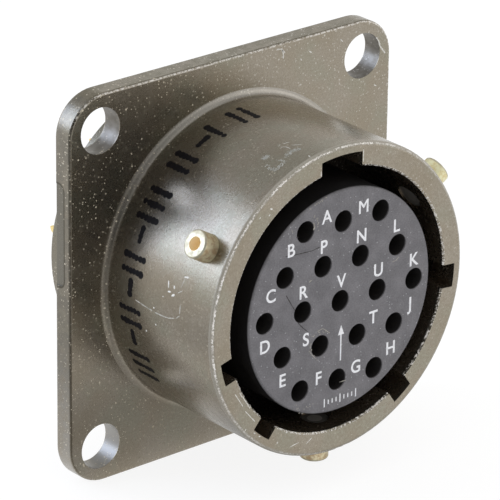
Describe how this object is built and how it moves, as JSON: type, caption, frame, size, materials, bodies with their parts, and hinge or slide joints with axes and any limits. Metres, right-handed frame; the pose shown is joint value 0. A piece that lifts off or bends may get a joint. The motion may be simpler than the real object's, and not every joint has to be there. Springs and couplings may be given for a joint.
{
  "type": "connector receptacle",
  "caption": "Box mount circular connector receptacle: square flange, keyed front barrel with bayonet pins, dark insert with socket contacts, solder cups behind.",
  "frame": {"origin": "centre of the bolt pattern in the flange's rear face, on the connector's axis", "axes": "+Y along the connector's axis towards the solder cups, so the mating end faces -Y; +Z towards the main keyway; +X to the right seen from the mating end"},
  "size_m": [0.0282, 0.022, 0.0282],
  "materials": {
    "shell": "satin",
    "bayonet_pin": "satin",
    "front_insert": "matte",
    "retention_disc": "matte",
    "rear_insert": "matte",
    "retaining_ring": "satin",
    "contact": "polished",
    "contact_hood": "satin"
  },
  "bodies": {
    "root": {"shell": "shell", "bayonet_pin_1": "bayonet_pin", "bayonet_pin_2": "bayonet_pin", "bayonet_pin_3": "bayonet_pin", "front_insert": "front_insert", "retention_disc": "retention_disc", "rear_insert": "rear_insert", "retaining_ring": "retaining_ring", "contact_a": "contact", "contact_b": "contact", "contact_c": "contact", "contact_d": "contact", "contact_e": "contact", "contact_f": "contact", "contact_g": "contact", "contact_h": "contact", "contact_j": "contact", "contact_k": "contact", "contact_l": "contact", "contact_m": "contact", "contact_n": "contact", "contact_p": "contact", "contact_r": "contact", "contact_s": "contact", "contact_t": "contact", "contact_u": "contact", "contact_v": "contact", "contact_hood_a": "contact_hood", "contact_hood_b": "contact_hood", "contact_hood_c": "contact_hood", "contact_hood_d": "contact_hood", "contact_hood_e": "contact_hood", "contact_hood_f": "contact_hood", "contact_hood_g": "contact_hood", "contact_hood_h": "contact_hood", "contact_hood_j": "contact_hood", "contact_hood_k": "contact_hood", "contact_hood_l": "contact_hood", "contact_hood_m": "contact_hood", "contact_hood_n": "contact_hood", "contact_hood_p": "contact_hood", "contact_hood_r": "contact_hood", "contact_hood_s": "contact_hood", "contact_hood_t": "contact_hood", "contact_hood_u": "contact_hood", "contact_hood_v": "contact_hood"}
  },
  "joints": []
}
